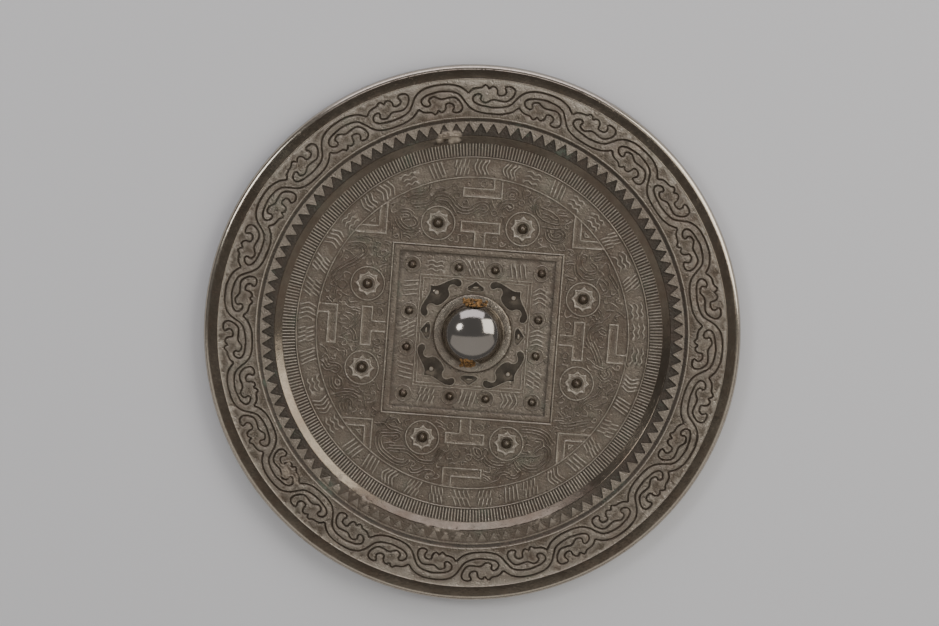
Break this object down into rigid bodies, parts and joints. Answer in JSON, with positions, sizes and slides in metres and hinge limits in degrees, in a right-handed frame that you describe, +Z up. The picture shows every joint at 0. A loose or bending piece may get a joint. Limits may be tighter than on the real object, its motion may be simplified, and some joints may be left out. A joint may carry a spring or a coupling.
{
  "type": "ancient bronze mirror",
  "caption": "Round cast bronze mirror lying face down: pierced knob, square frame, T, L and V marks, bosses, inscription ring, comb and saw teeth, and a cloud scroll rim.",
  "frame": {"origin": "middle of the flat spot under the reflecting face, on the surface that the mirror lies on", "axes": "+Z up, out of the cast back; +Y along the cord hole through the knob; +X across it, square to a side of the frame"},
  "size_m": [0.185, 0.185, 0.0122],
  "materials": {
    "bronze": "dark grey brown patina on cast high-tin bronze, smooth and glossy on the knob and rim, with green and earthy spots in the hollows"
  },
  "bodies": {
    "root": {"mirror": "bronze", "knob": "bronze"}
  },
  "joints": []
}
